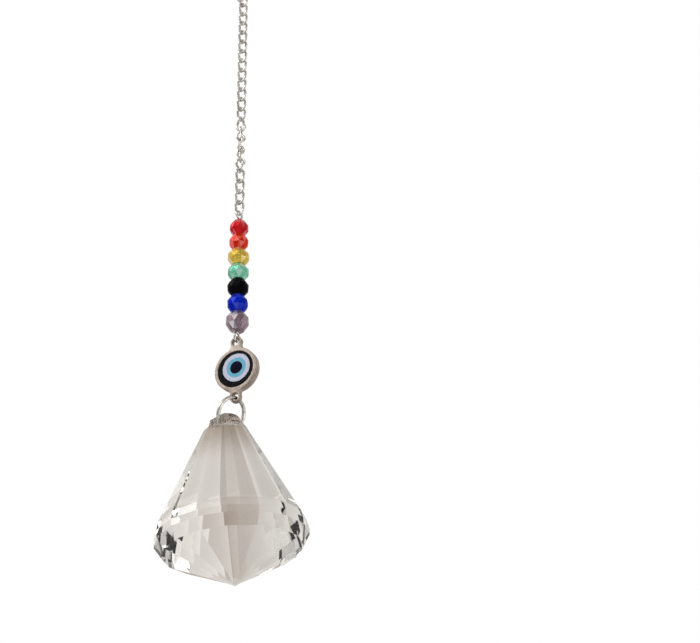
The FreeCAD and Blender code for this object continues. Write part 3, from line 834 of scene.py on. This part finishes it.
class ORNAMENT_OT_eye(bpy.types.Operator):
    """Make the metal setting and the enamelled eye"""
    bl_idname = "ornament.eye"
    bl_label = "Eye"

    def execute(self, context):
        sizes = context.scene.ornament_eye
        finish = context.scene.ornament_finish
        low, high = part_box("eye_setting")
        middle, front = (low.z + high.z) / 2, low.y
        back = front + sizes.tab_thickness
        edge, pocket_edge, back_edge = sizes.edge, sizes.edge * 0.6, sizes.edge * 1.5
        outline, ways = setting_outline(sizes, count=26)
        pocket_radius = sizes.disc / 2 - sizes.rim

        through = [edge_wall(outline, ways, front, back, edge, edge, middle)]
        for z in (sizes.tab_reach, -sizes.tab_reach):
            ring, out = circle_outline(0.0, z, sizes.tab_hole / 2, count=40, hole=True)
            through.append(edge_wall(ring, out, front, back, edge, edge, middle))
        ring, out = circle_outline(0.0, 0.0, pocket_radius, count=96, hole=True)
        pocket = edge_wall(ring, out, front, front + sizes.pocket, pocket_edge, 0.0, middle)
        parts = [band(wall) for wall in (*through, pocket)]
        parts.append((pocket[-1], [list(range(len(ring)))]))
        parts.append(flat_fill([wall[0] for wall in (*through, pocket)]))
        parts.append(flat_fill([wall[-1] for wall in through]))
        # the disc is thicker than the tabs: its back part starts a little behind the pocket
        # and stands a hair proud of the plate
        behind, hair = 0.00005, 0.000004
        ring, out = circle_outline(0.0, 0.0, sizes.disc / 2 + hair, count=128)
        drum = edge_wall(ring, out, front + sizes.pocket + behind,
                         front + sizes.disc_thickness, 0.0, back_edge, middle)
        parts.append(band(drum, caps=True))
        piece = mesh_piece("setting", parts)
        piece.data.set_sharp_from_angle(angle=METAL_TURN)
        place(piece, "eye", "setting_metal",
              worked("Satin setting", finish.setting, finish.setting_dull, "setting",
                     {"Metallic": 1.0})[0], "eye_setting")

        def enamel_y(points):
            """Front of the enamel: a dome d (1 - (r / R)^2) over the level of the rim."""
            r = np.linalg.norm(points, axis=-1) / pocket_radius
            return front + sizes.sunk - sizes.dome * (1 - r ** 2)

        a = round_steps(144)
        round_way = on_circle(a)
        shift = np.array([sizes.shift_x, sizes.shift_z])
        borders = [round_way * (pocket_radius - sizes.seam)]
        for seed, diameter in ((4, sizes.white), (9, sizes.blue), (2, sizes.pupil)):
            radius = diameter / 2 + waver(a, seed, sizes.waver)
            borders.append(shift + round_way * radius[:, None])
        borders.append(np.zeros_like(round_way) + shift)
        # rows of points from a colour's outer border to its inner one, closest at its seams
        seam_width = 0.04
        v = np.array([0.0, 0.012, 0.04, 0.1, 0.25, 0.5, 0.75, 0.9, 0.96, 0.988, 1.0])
        share_in = v[:, None, None]
        for outer, inner, (label, cad, slot, colour, fleck) in zip(borders, borders[1:],
                                                                   ENAMELS):
            across = outer * (1 - share_in) + inner * share_in
            # the seam is a ditch at a colour's borders, and the pupil has an outer one only
            border = v if label == "pupil" else np.minimum(v, 1 - v)
            ditch = sizes.seam * (1 - np.minimum(1, border / seam_width))
            y = enamel_y(across) + ditch[:, None]
            top = np.stack([across[..., 0], y, across[..., 1] + middle], axis=-1)
            under = top[::-1].copy()
            under[..., 1] = front + (sizes.pocket - sizes.floor_gap if label == "ground"
                                     else sizes.inner_depth)
            piece = mesh_piece("enamel_" + label,
                               [band(np.concatenate([top, under]), wrap_rows=True)])
            piece.data.set_sharp_from_angle(angle=ENAMEL_TURN)
            place(piece, "eye", slot,
                  enamel("Enamel " + label, getattr(finish, colour), fleck), cad)
        return {"FINISHED"}


def drop_surface(sizes, hole, axis, middle, first):
    """The drop hanging upright, as a grid with one row for each level and `strips` columns
    across each facet, from the corner at the angle `first` round. Between corners c0 and c1
    at a radius R, the column at a share s lies at c0 (1 - s) + c1 s, flat across the facet.
    The neck's two rows are round: there it is moved out by 4 s (1 - s) times
    R (1 - cos(pi / sides)), and then held between the two flats."""
    n, strips = sizes.sides, sizes.strips
    rows = np.array([
        (0.0, sizes.top_radius), (sizes.neck, sizes.neck_foot), (0.0, sizes.neck_foot),
        (sizes.flute, sizes.flute_foot), (sizes.upper_bevel, sizes.girdle_radius),
        (sizes.girdle, sizes.girdle_radius), (sizes.lower_bevel, sizes.bevel_foot),
        (sizes.pavilion, sizes.pavilion_foot)])
    bulge = np.zeros((len(rows), 1, 1))
    bulge[:2] = 1 - math.cos(math.pi / n)
    radius = rows[:, 1, None, None]
    a = first + round_steps(n)
    corner = on_circle(a)[:, None]
    s = (np.arange(strips) / strips)[None, :, None]
    chord = (corner * (1 - s) + np.roll(corner, -1, axis=0) * s).reshape(-1, 2)
    outward = np.repeat(on_circle(a + np.pi / n), strips, axis=0)
    bow = np.tile((4 * s * (1 - s)).reshape(-1), n)[:, None]
    grid = np.empty((len(rows), n * strips, 3))
    grid[..., :2] = middle[:2] + radius * (chord + outward * bow * bulge)
    top = hole[2] + sizes.hole / 2 + sizes.over_hole
    grid[..., 2] = (top - np.cumsum(rows[:, 0]))[:, None]
    along = (grid[:2] - hole) @ axis
    half = sizes.neck_flats / 2
    grid[:2] -= (along - np.clip(along, -half, half))[..., None] * axis
    points, faces = band(grid)
    columns = n * strips
    faces.append(list(range(columns)))
    last, tip = (len(rows) - 1) * columns, len(points)
    point = np.array([[middle[0], middle[1], grid[-1, 0, 2] - sizes.point]])
    faces += [[last + i, last + (i + 1) % columns, tip] for i in range(columns)]
    return np.concatenate([points, point]), faces


class ORNAMENT_OT_drop(bpy.types.Operator):
    """Make the cut glass drop"""
    bl_idname = "ornament.drop"
    bl_label = "Glass drop"

    def execute(self, context):
        sizes, finish = context.scene.ornament_drop, context.scene.ornament_finish
        joint = JOINTS["crystal_swing"]
        hole, axis = np.array(joint["pos_m"]), np.array(joint["axis"])
        middle = hole + np.cross(UP, axis) * sizes.aside
        first = math.atan2(axis[1], axis[0]) + math.pi + sizes.edge_turn
        piece = mesh_piece("glass_drop", [drop_surface(sizes, hole, axis, middle, first)],
                           merge=1e-8)
        reach = np.linspace(-sizes.neck_foot, sizes.neck_foot, 9)[:, None]
        bore = mesh_piece("drop_bore", [wire(hole + axis * reach, UP, sizes.hole / 2, 48,
                                             False)])
        cut = piece.modifiers.new("hole", "BOOLEAN")
        cut.object, cut.operation, cut.solver = bore, "DIFFERENCE", "EXACT"
        bpy.context.view_layer.update()
        graph = bpy.context.evaluated_depsgraph_get()
        mesh = bpy.data.meshes.new_from_object(piece.evaluated_get(graph))
        piece.modifiers.clear()
        piece.data = mesh
        bpy.data.objects.remove(bore)
        lean = (Matrix.Translation(Vector(hole))
                @ Matrix.Rotation(-sizes.lean, 4, Vector(axis))
                @ Matrix.Translation(-Vector(hole)))
        mesh.transform(lean)
        mesh.set_sharp_from_angle(angle=FACET_TURN)
        foot = sizes.hole / 2 + sizes.over_hole - sizes.neck
        place(piece, "crystal_drop", "clear_crystal",
              cut_glass("Cut glass", finish, sizes.sides, first, lean @ Vector(middle),
                        lean.to_euler(), foot, foot - sizes.flute), "crystal_drop")
        return {"FINISHED"}


class ORNAMENT_OT_stage(bpy.types.Operator):
    """Make the camera, the floor and the light"""
    bl_idname = "ornament.stage"
    bl_label = "Stage"

    def execute(self, context):
        stage = context.scene.ornament_stage
        scene = context.scene
        scene.view_settings.view_transform = "Standard"
        back = level(stage.azimuth - math.pi / 2)
        right = level(stage.azimuth)
        where = back * stage.distance + right * stage.aside - UP * stage.height
        data = bpy.data.cameras.new("Camera")
        data.lens, data.sensor_width = stage.lens, 36.0
        camera = bpy.data.objects.new("Camera", data)
        scene.collection.objects.link(camera)
        look = -back * math.cos(stage.pitch) + UP * math.sin(stage.pitch)
        face = Vector(look).to_track_quat("-Z", "Y").to_matrix().to_4x4()
        camera.matrix_world = (Matrix.Translation(Vector(where)) @ face
                               @ Matrix.Rotation(stage.roll, 4, "Z"))
        scene.camera = camera

        low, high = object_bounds()
        centre = (low + high) / 2
        floor_z = low.z - stage.floor_drop
        rows, around = np.array([0.0, 0.3, 0.7, 1.0]), 96
        flat = rows[:, None, None] * stage.floor_radius * on_circle(round_steps(around))
        disc = np.concatenate([flat, np.full((len(rows), around, 1), floor_z)], axis=2)
        floor = mesh_piece("floor", [band(disc)])
        material, tree, shader, where_on = new_material("Pale floor")
        grain = use_group(tree, grain_group(), where_on, Scale=30.0, Stretch=1.0)
        grey, pale = [0.86] * 3, [0.9] * 3
        tree.links.new(mix_colour(tree, grain.outputs["Height"], grey, pale),
                       shader.inputs["Base Color"])
        shader.inputs["Roughness"].default_value = 0.8
        floor.data.materials.append(material)
        floor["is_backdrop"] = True

        aim = Vector((0.0, 0.0, centre.z))
        for name, power, side, (x, y, z) in LAMPS:
            data = bpy.data.lights.new(name, "AREA")
            data.shape, data.size, data.energy = "SQUARE", side, getattr(stage, power)
            lamp = bpy.data.objects.new(name, data)
            scene.collection.objects.link(lamp)
            lamp.location = x, y, centre.z + z
            lamp.rotation_mode = "QUATERNION"
            lamp.rotation_quaternion = (aim - lamp.location).to_track_quat("-Z", "Y")

        world = bpy.data.worlds.new("Studio")
        world.use_nodes = True
        tree = world.node_tree
        tree.nodes.clear()
        output = tree.nodes.new("ShaderNodeOutputWorld")
        shade = tree.nodes.new("ShaderNodeBackground")
        tree.links.new(shade.outputs[0], output.inputs[0])
        seen_way = tree.nodes.new("ShaderNodeTexCoord").outputs["Generated"]

        def along(way):
            """How far a direction goes a way."""
            return node(tree, "ShaderNodeVectorMath", {0: seen_way, 1: tuple(way)},
                        operation="DOT_PRODUCT").outputs["Value"]

        # the room that glass and metal show is pale, with a dim warm patch of wall behind the
        # ornament, darker on the camera's side and a little brighter at the right
        flat = node(tree, "ShaderNodeCombineXYZ", {"X": along(right / stage.wall_width),
                                                   "Y": along(UP / stage.wall_height)})
        off = node(tree, "ShaderNodeVectorMath",
                   {0: flat.outputs[0], 1: (stage.wall_right / stage.wall_width,
                                            stage.wall_up / stage.wall_height, 0.0)},
                   operation="DISTANCE")
        patch = remap(tree, off.outputs["Value"], 0.0, 1.0, 1.0, 0.0, smooth=True)
        near, far, side, extra = -0.6, 0.4, 0.6, stage.side_level
        studio = maths(tree, "MULTIPLY",
                       remap(tree, along(-back), near, far, stage.near_level, 1.0, smooth=True),
                       remap(tree, along(right), -side, side, 1.0 - extra, 1.0 + extra,
                             smooth=True))
        # the camera sees plain white, glass and metal the room, and other rays an even light
        path = tree.nodes.new("ShaderNodeLightPath").outputs
        mirrored = maths(tree, "MAXIMUM", path["Is Transmission Ray"], path["Is Glossy Ray"])
        reflected = remap(tree, mirrored, 0.0, 1.0, stage.light_level, studio)
        tree.links.new(remap(tree, path["Is Camera Ray"], 0.0, 1.0, reflected, 1.0),
                       shade.inputs["Strength"])
        room = mix_colour(tree, patch, stage.room_light, stage.wall_light)
        tree.links.new(mix_colour(tree, mirrored, [1.0] * 3, room), shade.inputs["Color"])
        scene.world = world
        return {"FINISHED"}


class ORNAMENT_PT_panel(bpy.types.Panel):
    """Lists what the ornament is made of"""
    bl_label = "Evil Eye Ornament"
    bl_idname = "ORNAMENT_PT_panel"
    bl_space_type = "VIEW_3D"
    bl_region_type = "UI"
    bl_category = "Ornament"

    def draw(self, context):
        column = self.layout.column()
        for operator in OPERATORS:
            column.operator(operator.bl_idname)


OPERATORS = (ORNAMENT_OT_chain, ORNAMENT_OT_rings, ORNAMENT_OT_pin, ORNAMENT_OT_beads,
             ORNAMENT_OT_eye, ORNAMENT_OT_drop, ORNAMENT_OT_stage)


def register():
    """Register the classes and hang the sizes on the scene."""
    for name, group in GROUPS:
        bpy.utils.register_class(group)
        setattr(bpy.types.Scene, name, PointerProperty(type=group))
    for operator in OPERATORS:
        bpy.utils.register_class(operator)
    bpy.utils.register_class(ORNAMENT_PT_panel)


def unregister():
    """Undo register."""
    bpy.utils.unregister_class(ORNAMENT_PT_panel)
    for operator in reversed(OPERATORS):
        bpy.utils.unregister_class(operator)
    for name, group in reversed(GROUPS):
        delattr(bpy.types.Scene, name)
        bpy.utils.unregister_class(group)


def main():
    """Make every piece and the stage."""
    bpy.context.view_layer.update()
    register()
    bpy.ops.ornament.chain()
    bpy.ops.ornament.rings()
    bpy.ops.ornament.pin()
    bpy.ops.ornament.beads()
    bpy.ops.ornament.eye()
    bpy.ops.ornament.drop()
    bpy.ops.ornament.stage()


if __name__ == "__main__":
    main()
